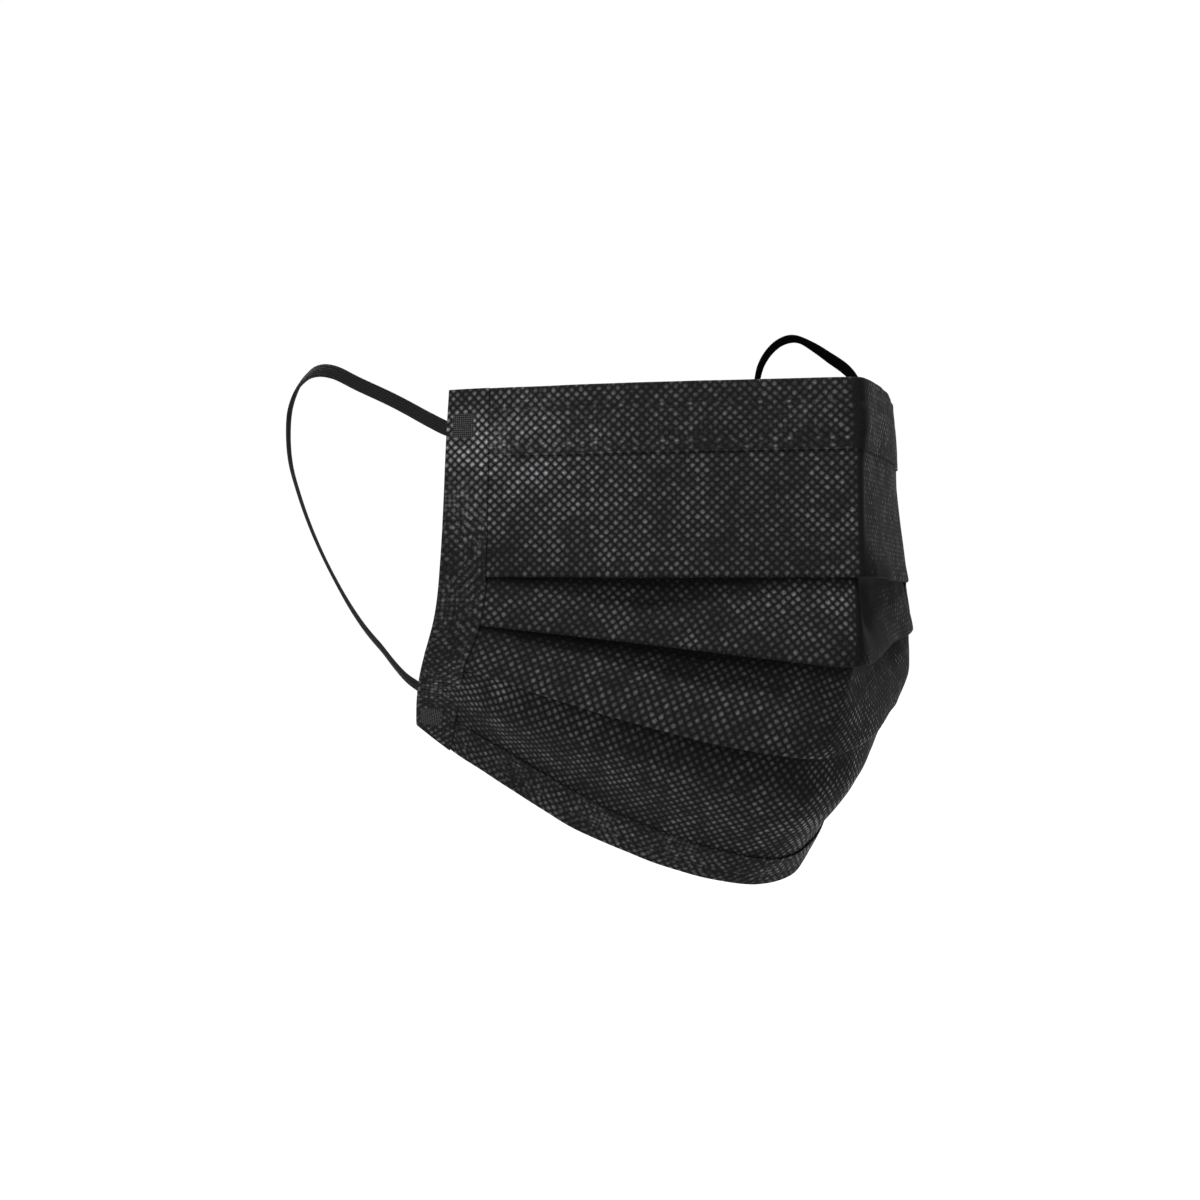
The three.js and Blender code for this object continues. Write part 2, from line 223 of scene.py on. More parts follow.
def naturalSpline(knots, values, t):
    # second derivatives m solve h0 m0 + 2 (h0 + h1) m1 + h1 m2 = 6 (slope1 - slope0), zero at both ends;
    # past the ends the curve runs on straight
    n = len(knots)
    width = np.diff(knots)
    slope = np.diff(values, axis=0) / width[:, None, None]
    system = np.eye(n)
    inner = np.arange(1, n - 1)
    system[inner, inner - 1] = width[:-1]
    system[inner, inner] = 2 * (width[:-1] + width[1:])
    system[inner, inner + 1] = width[1:]
    right = np.zeros((n,) + values.shape[1:])
    right[1:-1] = 6 * np.diff(slope, axis=0)
    second = np.linalg.solve(system, right.reshape(n, -1)).reshape(right.shape)
    held = np.clip(t, knots[0], knots[-1])
    i = np.clip(np.searchsorted(knots, held, side="right") - 1, 0, n - 2)
    h = width[i][:, None, None]
    b = (held - knots[i])[:, None, None] / h
    a = 1 - b
    cubic = (a ** 3 - a) * second[i] + (b ** 3 - b) * second[i + 1]
    steep = (1 - 3 * a ** 2) * second[i] + (3 * b ** 2 - 1) * second[i + 1]
    onward = slope[i] + steep * h / 6
    return a * values[i] + b * values[i + 1] + cubic * h ** 2 / 6 + onward * (t - held)[:, None, None]


def makeNet():
    # points on a net of across and drop, the length down each line, and directions out of the
    # surface, which come from a copy with a rounder crease so that the inner layers stay apart
    edge = cloth["halfWidth"] + cloth["margin"]
    across = columnsAcross(2 * int(edge / cloth["netAcross"]) + 1, edge, cloth["netTight"])
    above = -cloth["margin"]
    below = levels["bottomEdge"]["drop"] + cloth["margin"]
    drop = np.linspace(above, below, int((below - above) / cloth["netDown"]) + 1)
    knots = np.array([level["drop"] for level in levels.values()], dtype=float)
    surfaces = []
    for rounding in ("crease", "mitre"):
        curves = np.array([levelCurve(level, across, level[rounding]) for level in levels.values()])
        surfaces.append(naturalSpline(knots, curves, drop).transpose(1, 0, 2))
    points, soft = surfaces
    length = runningLength(points)
    length -= np.array([np.interp(0, drop, row) for row in length])[:, None]
    out = unit(np.cross(np.gradient(soft, axis=1), np.gradient(soft, axis=0)))
    return {"across": across, "drop": drop, "points": points, "length": length, "out": out}


net = makeNet()


def lengthAt(levelName, across):
    # length down each line to a level
    lengths = between(net["length"], net["across"], across)
    return between(lengths.T, net["drop"], levels[levelName]["drop"])


def waveDepth(across, along):
    # sum of height sin(2 pi across / a + start) sin(2 pi along / b + drift)
    total = 0
    for wave in waves:
        sideways = np.sin(2 * np.pi * across / wave["across"] + wave["start"])
        down = np.sin(2 * np.pi * along / wave["along"] + wave["drift"])
        total = total + wave["height"] * sideways * down
    return total


def leftDepth(across, along):
    # the swell, a hill across times a hill along, less the bend towards the edge
    swell = hill(across, *leftSide["swellAcross"]) * hill(along, *leftSide["swellAlong"])
    bend = leftSide["bend"] * smoothStep(*leftSide["bendBetween"], across)
    return leftSide["swell"] * swell * smoothStep(0, leftSide["swellFade"], across) - bend


def underBands(across):
    # how far the cloth steps down where a side band lies on it
    return cloth["tuck"] * smoothStep(*cloth["tuckAt"], np.abs(across))[:, None]


def squeezeAt(across):
    # share of their depth that the layers keep
    return 1 - (1 - cloth["squeezedTo"]) * smoothStep(*cloth["squeeze"], np.abs(across))


def onSurface(across, along, depth):
    # point of the surface at that place plus depth times the direction out of it; one across value
    # for each row of along and depth. Lengths of all rows are made one rising list to look them up.
    rows = {key: between(net[key], net["across"], across) for key in ("length", "points", "out")}
    apart = cloth["rowsApart"] * np.arange(len(across))[:, None]
    known = (rows["length"] + apart).ravel()
    wanted = (along + apart).ravel()

    def lookUp(values):
        found = [np.interp(wanted, known, values[..., k].ravel()) for k in range(3)]
        return np.stack(found, axis=-1).reshape(along.shape + (3,))

    across = across[:, None]
    lifted = depth * squeezeAt(across) + waveDepth(across, along) + leftDepth(across, along)
    return creaseTop + mm * (lookUp(rows["points"]) + unit(lookUp(rows["out"])) * lifted[..., None])


tiny = 1e-9        # the least length of a step
mitreLimit = 0.5   # corners sharper than this are cut short
hardFrom = 50      # degrees between two faces from which their edge is drawn hard


def layerFaces(path, wall):
    # the two faces of a sheet: its middle path moved half a wall to each side, mitred at the corners
    step = np.diff(path, axis=-2)
    length = np.maximum(np.linalg.norm(step, axis=-1, keepdims=True), tiny)
    normal = np.stack([-step[..., 1], step[..., 0]], axis=-1) / length
    before = np.concatenate([normal[..., :1, :], normal], axis=-2)
    after = np.concatenate([normal, normal[..., -1:, :]], axis=-2)
    share = np.maximum(1 + np.sum(before * after, axis=-1, keepdims=True), mitreLimit)
    move = (before + after) / share * wall / 2
    return path + move, path - move


def halfTurn(along, fromDepth, toDepth, way, steps):
    # half circle from one depth to the other; way +1 bulges onwards, -1 back
    angle = np.pi * np.arange(steps + 1) / steps
    radius = np.abs(fromDepth - toDepth)[:, None] / 2
    centre = (fromDepth + toDepth)[:, None] / 2
    run = along[:, None] + way * radius * np.sin(angle)
    return paired(run, centre + (fromDepth[:, None] - centre) * np.cos(angle))


def makeMesh(name, points, faces, uv):
    # faces is a list of arrays, each with one row of corner numbers for a face
    mesh = bpy.data.meshes.new(name)
    corners = np.concatenate([part.ravel() for part in faces]).astype(np.int32)
    sizes = np.concatenate([np.full(len(part), part.shape[1]) for part in faces])
    starts = np.concatenate([[0], np.cumsum(sizes)[:-1]]).astype(np.int32)
    mesh.vertices.add(len(points))
    mesh.vertices.foreach_set("co", points.astype(np.float32).ravel())
    mesh.loops.add(len(corners))
    mesh.loops.foreach_set("vertex_index", corners)
    mesh.polygons.add(len(sizes))
    mesh.polygons.foreach_set("loop_start", starts)
    layer = mesh.uv_layers.new(name="cloth")
    layer.data.foreach_set("uv", uv[corners].astype(np.float32).ravel())
    mesh.update(calc_edges=True)
    mesh.shade_smooth()
    mesh.set_sharp_from_angle(angle=math.radians(hardFrom))
    return addObject(name, mesh)


def outwards(points, faces):
    # the volume of the closed quads, from corner . (corner x corner), says which way they face
    centred = points - points.mean(axis=0)
    a, b, c, d = (centred[faces[0][:, k]] for k in range(4))
    volume = np.sum(a * np.cross(b, c)) + np.sum(a * np.cross(c, d))
    return faces if volume > 0 else [part[:, ::-1] for part in faces]


def ringFaces(rows, ring):
    # quads between neighbouring rings of a tube
    start = np.arange(rows - 1)[:, None] * ring
    k = np.arange(ring)[None, :]
    following = (k + 1) % ring
    sides = np.stack([start + k, start + following, start + ring + following, start + ring + k], axis=-1)
    return sides.reshape(-1, 4)


def shellFaces(rows, ring):
    # quads all round, and strips that close the first and the last ring
    k = np.arange(ring // 2 - 1)
    back = ring - 1 - k
    last = (rows - 1) * ring
    first = np.stack([k, back, back - 1, k + 1], axis=-1)
    final = np.stack([k, k + 1, back - 1, back], axis=-1) + last
    return [np.concatenate([ringFaces(rows, ring), first, final])]


def roundTrip(there, back):
    # along one face of a sheet and back along the other
    return np.concatenate([there, back[:, ::-1]], axis=1)


def makeShell(name, points, uv):
    # a closed thin shell from rings, each a round trip
    rows, ring = points.shape[:2]
    flat = points.reshape(-1, 3)
    return makeMesh(name, flat, outwards(flat, shellFaces(rows, ring)), uv.reshape(-1, 2))


# Painted light: places where the bond dots are painted brighter as painted highlights, or the cloth
# duller, farPocket as painted shade in the pocket under the first fold on the left: centre, half sizes
# and how much.
# side: -1 right, 1 left, 0 both.
polishNames = "side across along wide long gain".split()
polishRows = {
    "upperCorner": (0, 77, 13, 17, 10, 4),
    "belowUpperCorner": (0, 58, 22, 20, 13, 0.9),
    "lowerCorner": (0, 71, 64, 9, 4, 2),
    "lowerEdge": (0, 30, 100, 70, 20, 0.5),
    "underFoldOne": (-1, 11, 44, 9, 3.5, 1.4),
    "besideCrease": (-1, 4, 22, 7, 20, 0.5),
    "dullPatch": (-1, 67, 31, 11, 8, -0.4),
    "farTop": (1, 12, 8, 14, 9, 1.5),
    "farPocket": (1, 13, 46, 25, 11, -1),
}


def polishAt(across, along):
    # sum of gain exp(-(x / wide)^2 - (y / long)^2)
    total = across * 0 + along * 0
    for row in polishRows.values():
        spot = dict(zip(polishNames, row))
        there = 1 if spot["side"] == 0 else across * spot["side"] > 0
        size = hill(np.abs(across), spot["across"], spot["wide"]) * hill(along, spot["along"], spot["long"])
        total = total + there * spot["gain"] * size
    return np.maximum(total, -1)


# polish carries the painted light: painted highlights above 0, painted shade below 0
clothAttributes = ("fromEdge", "weld", "scramble", "bare", "polish")


def setAttributes(piece, shape, **values):
    # every cloth attribute, zero where it isn't given
    for name in clothAttributes:
        attribute = piece.data.attributes.new(name, "FLOAT", "POINT")
        full = np.broadcast_to(values.get(name, 0), shape).astype(np.float32)
        attribute.data.foreach_set("value", full.ravel())


def finishPiece(piece, node, material):
    # its material, the body that it rides on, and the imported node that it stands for
    piece.data.materials.append(material)
    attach(piece, "root")
    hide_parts(node)


def addNode(tree, kind, inputs=None, **settings):
    # a socket given as an input is linked, anything else is set on it
    node = tree.nodes.new(kind)
    for key, value in settings.items():
        setattr(node, key, value)
    for key, value in (inputs or {}).items():
        if isinstance(value, bpy.types.NodeSocket):
            tree.links.new(value, node.inputs[key])
        else:
            node.inputs[key].default_value = value
    return node


def calc(tree, operation, *values):
    # one step of arithmetic on sockets and numbers
    node = addNode(tree, "ShaderNodeMath", dict(enumerate(values)), operation=operation)
    return node.outputs[0]


def times(tree, *values):
    # the product of all the values
    product = values[0]
    for value in values[1:]:
        product = calc(tree, "MULTIPLY", product, value)
    return product


def vectorMath(tree, operation, inputs):
    # one step of arithmetic on vectors
    return addNode(tree, "ShaderNodeVectorMath", inputs, operation=operation).outputs[0]


def axesOf(tree, vector):
    # its X, Y and Z
    return addNode(tree, "ShaderNodeSeparateXYZ", {"Vector": vector}).outputs


def clothLengths(tree):
    # the piece's own lengths across and along in millimetres
    return addNode(tree, "ShaderNodeUVMap", uv_map="cloth").outputs["UV"]


def ease(tree, value, low, high, toLow=0, toHigh=1):
    # toLow + (toHigh - toLow) (3t^2 - 2t^3), t the value's place between low and high
    inputs = {"Value": value, "From Min": low, "From Max": high, "To Min": toLow, "To Max": toHigh}
    node = addNode(tree, "ShaderNodeMapRange", inputs, interpolation_type="SMOOTHSTEP")
    return node.outputs["Result"]


def noise(tree, place, scale, detail, roughness, output="Fac"):
    # soft noise, about 0.5 on the whole
    inputs = {"Vector": place, "Scale": scale, "Detail": detail, "Roughness": roughness}
    return addNode(tree, "ShaderNodeTexNoise", inputs, noise_dimensions="3D").outputs[output]


def newMaterial(name, shading):
    # what is the same all over goes straight on the shader's own sockets
    material = bpy.data.materials.new(name)
    material.use_nodes = True
    tree = material.node_tree
    shader = tree.nodes["Principled BSDF"]
    for key, value in shading.items():
        shader.inputs[key].default_value = value
    return material, tree, shader


def colourAndBump(tree, shader, look, grey, height):
    # the grey times the tint, and a bump from heights in millimetres
    colour = vectorMath(tree, "SCALE", {0: look["tint"], "Scale": grey})
    tree.links.new(colour, shader.inputs["Base Color"])
    bump = addNode(tree, "ShaderNodeBump", {"Height": height, "Distance": mm, "Strength": 1})
    tree.links.new(bump.outputs[0], shader.inputs["Normal"])


# A noise is its scale, detail and roughness. An ease is a stretch of values and what they are eased to.
spunbond = {
    "ground": 0.0022,        # grey of the loose fibres, and what a bond dot adds to it
    "dot": 0.021,
    "deepestPaintedShade": 0.3,          # share of its grey left where the painted light is -1, the deepest painted shade
    "tint": (1, 1, 1.04),
    "gloss": 0.04,
    "roughGround": 0.9,
    "roughDot": 0.42,
    "dotDepth": 0.09,
    "fibreHeight": 0.05,
    "fibreNoise": (2.6, 4, 0.7),
    "fibreEase": (0.3, 0.72, 0.45, 1.6),
    "pitchAcross": 2.0,      # bond dots stand in rows, every other row shifted by half a pitch
    "pitchDown": 1.86,
    "sharpness": 2.1,
    "wander": 0.56,          # how far the rows wander
    "wanderNoise": (0.33, 2, 0.5),
    "ownEase": (0, 1, 0.45, 1.35),  # each dot has its own strength,
    "patchNoise": (0.13, 3, 0.6),  # and they are stronger in some patches
    "patchEase": (0.36, 0.64, 0.45, 1.2),
    "secondShift": (0.7, 0.4, 0),  # a scrambled place has a second pattern, shifted and turned,
    "secondTurn": 0.09,
    "secondEase": (0, 1, 0.1, 1),
    "firstKept": 0.7,        # over this much of the first one,
    "tornNoise": (0.75, 3, 0.5),  # both torn in patches
    "tornEase": (0.38, 0.62, 0.2, 1.7),
    "hatchPitch": 0.9,       # the slanting lines of an ear loop's weld
    "hatchEase": (-0.1, 0.7, 0.1, 1.1),
    "seamWidth": 0.75,       # half width of the crushed line along a weld row
    "seamTakes": 0.7,        # share of the dots that it takes away
    "spotWide": 0.36,        # half sizes of the shiny spots in it
    "spotTall": 0.26,
    "spotShine": 3.4,
    "spotLeast": 0.15,
}


def bondDots(tree, place, look):
    # p = x / a + y / b and q = x / a - y / b put every dot of the staggered rows at whole p and q; with
    # their rests to the nearest whole numbers a dot is (cos(pi restP) cos(pi restQ))^sharpness, and
    # the whole numbers give the dot's own chance
    axes = axesOf(tree, place)
    x = calc(tree, "DIVIDE", axes["X"], look["pitchAcross"])
    y = calc(tree, "DIVIDE", axes["Y"], look["pitchDown"])
    wholes, cosines = [], []
    for way in ("ADD", "SUBTRACT"):
        value = calc(tree, way, x, y)
        whole = calc(tree, "ROUND", value)
        rest = calc(tree, "SUBTRACT", value, whole)
        wholes.append(whole)
        cosines.append(calc(tree, "COSINE", times(tree, rest, math.pi)))
    product = calc(tree, "MAXIMUM", times(tree, *cosines), 0)
    number = addNode(tree, "ShaderNodeCombineXYZ", dict(zip("XY", wholes)))
    chance = addNode(tree, "ShaderNodeTexWhiteNoise", {"Vector": number.outputs[0]}, noise_dimensions="2D")
    return calc(tree, "POWER", product, look["sharpness"]), chance.outputs["Value"]


def wandering(tree, uv, look):
    # the cloth's lengths shifted a little by slow noise
    slow = noise(tree, uv, *look["wanderNoise"], output="Color")
    centred = vectorMath(tree, "SUBTRACT", {0: slow, 1: (0.5, 0.5, 0.5)})
    shift = vectorMath(tree, "SCALE", {0: centred, "Scale": look["wander"]})
    return vectorMath(tree, "ADD", {0: uv, 1: shift})


def attributeShare(tree, name):
    # one of the cloth attributes
    node = addNode(tree, "ShaderNodeAttribute", attribute_name=name, attribute_type="GEOMETRY")
    return node.outputs["Fac"]


def mixed(tree, share, first, second):
    # first (1 - share) + second share
    node = addNode(tree, "ShaderNodeMix", {"Factor": share, 2: first, 3: second}, data_type="FLOAT")
    return node.outputs[0]


def bell(tree, value, size):
    # exp(-(value / size)^2)
    share = calc(tree, "DIVIDE", value, size)
    return calc(tree, "EXPONENT", times(tree, share, share, -1))


def weldMarks(tree, uv, rows, look):
    # the crushed line along each weld row, and its row of small shiny spots of uneven strength
    fromEdge = attributeShare(tree, "fromEdge")
    across = axesOf(tree, uv)["X"]
    line, spots = 0, 0
    for row in rows:
        down = calc(tree, "SUBTRACT", fromEdge, row["at"])
        number = calc(tree, "ROUND", calc(tree, "DIVIDE", across, row["pitch"]))
        sideways = calc(tree, "SUBTRACT", across, times(tree, number, row["pitch"]))
        seed = calc(tree, "ADD", number, row["at"])
        chance = addNode(tree, "ShaderNodeTexWhiteNoise", {"W": seed}, noise_dimensions="1D")
        strength = ease(tree, chance.outputs["Value"], 0, 1, look["spotLeast"], row["shine"])
        spot = times(tree, bell(tree, down, look["spotTall"]), bell(tree, sideways, look["spotWide"]))
        line = calc(tree, "MAXIMUM", line, bell(tree, down, look["seamWidth"]))
        spots = calc(tree, "ADD", spots, times(tree, spot, strength))
    return line, spots


def spunbondMaterial(name, look, weldRows=()):
    # Black spunbonded cloth: matt fibres with rows of small bond dots that shine a little. The mesh
    # says where it differs: bare cloth has no dots, a scrambled place has a second pattern struck
    # through the first, a weld has slanting lines, and the painted light brightens the dots as painted
    # highlights, or dulls the dots and the cloth as painted shade.
    material, tree, shader = newMaterial(name, {"Metallic": 0, "Specular IOR Level": look["gloss"]})
    uv = clothLengths(tree)
    place = wandering(tree, uv, look)
    dots, chance = bondDots(tree, place, look)
    patches = ease(tree, noise(tree, uv, *look["patchNoise"]), *look["patchEase"])
    dot = times(tree, dots, ease(tree, chance, *look["ownEase"]), patches)
    if weldRows:
        line, spots = weldMarks(tree, uv, weldRows, look)
        dot = times(tree, dot, calc(tree, "SUBTRACT", 1, times(tree, line, look["seamTakes"])))
    turn = {"Location": look["secondShift"], "Rotation": (0, 0, look["secondTurn"])}
    turned = addNode(tree, "ShaderNodeMapping", {"Vector": place, **turn})
    second, secondChance = bondDots(tree, turned.outputs[0], look)
    struck = times(tree, second, ease(tree, secondChance, *look["secondEase"]))
    both = calc(tree, "MAXIMUM", times(tree, dot, look["firstKept"]), struck)
    torn = times(tree, both, ease(tree, noise(tree, uv, *look["tornNoise"]), *look["tornEase"]))
    dot = mixed(tree, attributeShare(tree, "scramble"), dot, torn)
    shown = calc(tree, "SUBTRACT", 1, attributeShare(tree, "bare"))
    # painted highlights and painted shade: the dots are scaled by 1 plus the painted light
    polish = attributeShare(tree, "polish")
    dot = times(tree, dot, shown, calc(tree, "ADD", 1, polish))
    if weldRows:
        dot = calc(tree, "ADD", dot, times(tree, spots, shown, look["spotShine"]))
    axes = axesOf(tree, uv)
    slants = []
    for way in (1, -1):
        diagonal = calc(tree, "MULTIPLY_ADD", axes["X"], way, axes["Y"])
        slants.append(calc(tree, "SINE", times(tree, diagonal, 2 * math.pi / look["hatchPitch"])))
    hatch = ease(tree, times(tree, *slants), *look["hatchEase"])
    face = mixed(tree, attributeShare(tree, "weld"), dot, hatch)
    fibres = noise(tree, uv, *look["fibreNoise"])
    grey = calc(tree, "MULTIPLY_ADD", face, look["dot"], look["ground"])
    # painted shade: where the painted light is below 0 the whole grey is darkened
    paintedShadeShare = ease(tree, polish, -1, 0, look["deepestPaintedShade"], 1)
    grey = times(tree, grey, paintedShadeShare, ease(tree, fibres, *look["fibreEase"]))
    rough = ease(tree, face, 0, 1, look["roughGround"], look["roughDot"])
    tree.links.new(rough, shader.inputs["Roughness"])
    raised = times(tree, fibres, look["fibreHeight"])
    height = calc(tree, "SUBTRACT", raised, times(tree, face, look["dotDepth"]))
    colourAndBump(tree, shader, look, grey, height)
    return material


elastic = {
    "yarn": 0.0015,          # grey of the yarn between the ribs, and what a rib adds to it
    "rib": 0.0045,
    "tint": (1, 1, 1.04),
    "gloss": 0.04,
    "roughness": 0.75,
    "ribs": 6,               # ridges over the width of the band
    "stitch": 0.62,          # length of one stitch
    "slant": 0.9,
    "stitchEase": (-0.6, 0.8, 0.45, 1),
    "fuzz": 0.3,
    "fuzzNoise": (3.1, 4, 0.7),
    "height": 0.05,
}


def elasticMaterial(name, look):
    # flat knitted elastic: ridges along the band crossed by short slanting stitches
    shading = {"Metallic": 0, "Roughness": look["roughness"], "Specular IOR Level": look["gloss"]}
    material, tree, shader = newMaterial(name, shading)
    uv = clothLengths(tree)
    axes = axesOf(tree, uv)
    across = times(tree, axes["X"], 2 * math.pi * look["ribs"])
    ridge = times(tree, calc(tree, "ADD", calc(tree, "COSINE", across), 1), 0.5)
    slant = times(tree, calc(tree, "SINE", across), look["slant"])
    alongBand = times(tree, axes["Y"], 2 * math.pi / look["stitch"])
    stitch = calc(tree, "SINE", calc(tree, "ADD", alongBand, slant))
    loops = times(tree, ridge, ease(tree, stitch, *look["stitchEase"]))
    grey = calc(tree, "MULTIPLY_ADD", loops, look["rib"], look["yarn"])
    fuzz = times(tree, noise(tree, uv, *look["fuzzNoise"]), look["fuzz"])
    height = times(tree, calc(tree, "ADD", loops, fuzz), look["height"])
    colourAndBump(tree, shader, look, grey, height)
    return material


blackSpunbond = spunbondMaterial("blackSpunbond", spunbond)
pressedSpunbond = spunbondMaterial("pressedSpunbond", {**spunbond, "roughDot": 0.5, "dotDepth": 0.06})
knittedElastic = elasticMaterial("knittedElastic", elastic)
# painted shade: a darker copy of the same elastic, without gloss, for the left loop
paintedShadeLook = {**elastic, "yarn": 0.0004, "rib": 0.0014, "gloss": 0}
paintedShadeElastic = elasticMaterial("paintedShadeElastic", paintedShadeLook)
print("materials made")

# Routes from the upper weld to the lower one. Each point is its distance out from the middle plane,
# back behind the crease and up above the top edge, and a twist in degrees from a band that stands on
# edge towards one that lies across its loop.
rightRoute = [
    (47, 59, -10.2, 4), (50.1, 63.5, -9.9, 10), (52.9, 68, -8.8, 14), (55.8, 73.6, -6.2, 8),
    (59, 86, -1, 3), (61, 98.6, 3.3, 5), (62.2, 108.4, 6.6, 15), (62.8, 115.6, 7.5, 25),
    (63, 121, 6.6, 33), (63.2, 126, 4, 38), (63.3, 129.4, -0.3, 38), (63.2, 130.4, -6.9, 35),
    (63.1, 129.2, -12.6, 34), (63, 125.6, -18.6, 34), (62.9, 120.4, -25.4, 35),
    (62.7, 114.2, -32.2, 36), (62.4, 107, -39, 36), (61.8, 99.8, -45.4, 34),
    (60.8, 93.4, -50.6, 33), (59.2, 87.2, -55, 32), (56.8, 82, -58, 28), (53.3, 78.5, -60, 22),
    (49.9, 76.2, -62.5, 13), (46.3, 73.4, -65.1, 18),
]
leftRoute = [
    (49.4, 61.4, -15.3, 35), (50.9, 64.7, -10.2, 33), (52.3, 68.1, -4.7, 28), (54, 71.3, 0.6, 18),
    (55.7, 75.1, 5.8, 10), (57, 81, 10.4, 12), (57.7, 90.8, 15.2, 20), (58, 98.2, 18.5, 36),
    (58.2, 104, 20.5, 54), (58.3, 109.1, 20.7, 74), (58.4, 114.2, 19.4, 95),
    (58.4, 117.8, 17.2, 108), (58.4, 120.4, 14, 120), (58.5, 122, 8.5, 130), (58.8, 122.2, 1, 137),
    (59.2, 120.4, -8, 143), (59.7, 117, -17.5, 150), (60, 112.2, -27, 160), (60.1, 106, -36, 172),
    (59.8, 98.8, -44.5, 186), (58.9, 91.4, -51.8, 198), (56.8, 84.2, -57.2, 206),
    (53.3, 78.6, -60, 202), (49.9, 76.2, -62.5, 192), (46.3, 73.4, -65.1, 198),
]

earLoops = {
    "width": 3,
    "thickness": 0.7,
    "ribHeight": 0.035,
    "ribs": elastic["ribs"],
    "roundness": (0.45, 0.5),  # of the section across and through the band, 1 for an ellipse
    "sectionPoints": 60,
    "rings": 760,
    "curveSteps": 40,       # between two points of its route
    "cordStep": 8,          # rings from one point of the cord's path to the next
    "weldFade": (5.6, 9.1),  # the ends are pressed flat, up to a length between these
    "weldWidth": 3.24,
    "weldThickness": 0.55,
    "seatShifts": {-1: 3.8, 1: 2.7},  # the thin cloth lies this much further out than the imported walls
    "seatFade": (7, 26),    # and the band comes back to its route between these lengths
    "weldAcross": 81,
    "weldsAlong": (13, 66),
}


def throughPoints(points, pieces):
    # Catmull-Rom curve with knots the square roots of the distances apart: the speed at each point is
    # the weighted slope of its two neighbours, and each stretch is a cubic with those end speeds
    first = 2 * points[0] - points[1]
    last = 2 * points[-1] - points[-2]
    p = np.vstack([first, points, last])
    d = np.sqrt(np.linalg.norm(np.diff(p, axis=0), axis=1))[:, None]
    before, during, after = d[:-2], d[1:-1], d[2:]
    p0, p1, p2, p3 = p[:-3], p[1:-2], p[2:-1], p[3:]
    speed1 = (p1 - p0) / before - (p2 - p0) / (before + during) + (p2 - p1) / during
    speed2 = (p2 - p1) / during - (p3 - p1) / (during + after) + (p3 - p2) / after
    t = (np.arange(pieces) / pieces)[None, :, None]
    p1, p2 = p1[:, None], p2[:, None]
    m1, m2 = (speed1 * during)[:, None], (speed2 * during)[:, None]
    curve = (2 * t ** 3 - 3 * t ** 2 + 1) * p1 + (t ** 3 - 2 * t ** 2 + t) * m1
    curve = curve + (3 * t ** 2 - 2 * t ** 3) * p2 + (t ** 3 - t ** 2) * m2
    return np.vstack([curve.reshape(-1, points.shape[1]), points[-1:]])


def evenly(curve, count):
    # the same curve at equal steps of length
    length = runningLength(curve[:, :3])
    wanted = np.linspace(0, length[-1], count)
    even = np.stack([np.interp(wanted, length, curve[:, k]) for k in range(curve.shape[1])], axis=-1)
    return even, wanted


def outAt(side, along):
    # direction out of the surface at a weld
    across = np.array([side * earLoops["weldAcross"]])
    spot = np.array([[along]])
    return unit(onSurface(across, spot, spot * 0 + 1) - onSurface(across, spot, spot * 0))[0, 0]


def bandSection(width, thickness, look):
    # x = w/2 |cos|^a, y = t/2 |sin|^b, each with its sign and its roundness as the power, and ridges
    # cos(2 pi ribs x / w) on both faces
    angle = 2 * np.pi * np.arange(look["sectionPoints"]) / look["sectionPoints"]
    x, y = (
        np.sign(wave) * np.abs(wave) ** power
        for wave, power in zip((np.cos(angle), np.sin(angle)), look["roundness"]))
    ridge = np.cos(np.pi * look["ribs"] * x) * look["ribHeight"] * np.abs(y)
    across = width[:, None] / 2 * x
    return across, thickness[:, None] / 2 * y + ridge * np.sign(y), x / 2


def makeEarLoop(name, node, route, side, material, look):
    # a flat section carried along its route, turned round it by the twist
    curve = throughPoints(np.array(route) * (side, 1, 1, 1), look["curveSteps"])
    curve, length = evenly(curve, look["rings"])
    centre = curve[:, :3]
    total = length[-1]
    for start, along in ((length, look["weldsAlong"][0]), (total - length, look["weldsAlong"][1])):
        fade = 1 - smoothStep(*look["seatFade"], start)
        centre = centre + look["seatShifts"][side] * fade[:, None] * outAt(side, along)
    tangent = unit(np.gradient(centre, axis=0))
    outward = np.array([side, 0, 0])
    onEdge = side * unit(np.cross(tangent, outward))
    flat = unit(outward - tangent * (tangent @ outward)[:, None])
    twist = np.radians(curve[:, 3])[:, None]
    widthWay = onEdge * np.cos(twist) + flat * np.sin(twist)
    thickWay = np.cross(tangent, widthWay)
    pressed = 1 - smoothStep(*look["weldFade"], np.minimum(length, total - length))
    width = look["width"] + (look["weldWidth"] - look["width"]) * pressed
    thickness = look["thickness"] + (look["weldThickness"] - look["thickness"]) * pressed
    x, y, u = bandSection(width, thickness, look)
    points = centre[:, None] + x[..., None] * widthWay[:, None] + y[..., None] * thickWay[:, None]
    points = creaseTop + mm * points.reshape(-1, 3)
    rings, ring = x.shape
    lids = np.stack([np.arange(ring)[::-1], np.arange(ring) + (rings - 1) * ring])
    faces = outwards(points, [ringFaces(rings, ring), lids])
    piece = makeMesh(name, points, faces, paired(u[None, :], length[:, None]).reshape(-1, 2))
    finishPiece(piece, node, material)
    print(name, "is", round(float(total), 1), "mm long")


makeEarLoop("earLoopRight", "ear_loop_right", rightRoute, -1, knittedElastic, earLoops)
makeEarLoop("earLoopLeft", "ear_loop_left", leftRoute, 1, paintedShadeElastic, earLoops)
print("ear loops made")

hemDepths = {"top": 14, "bottom": 8.5}

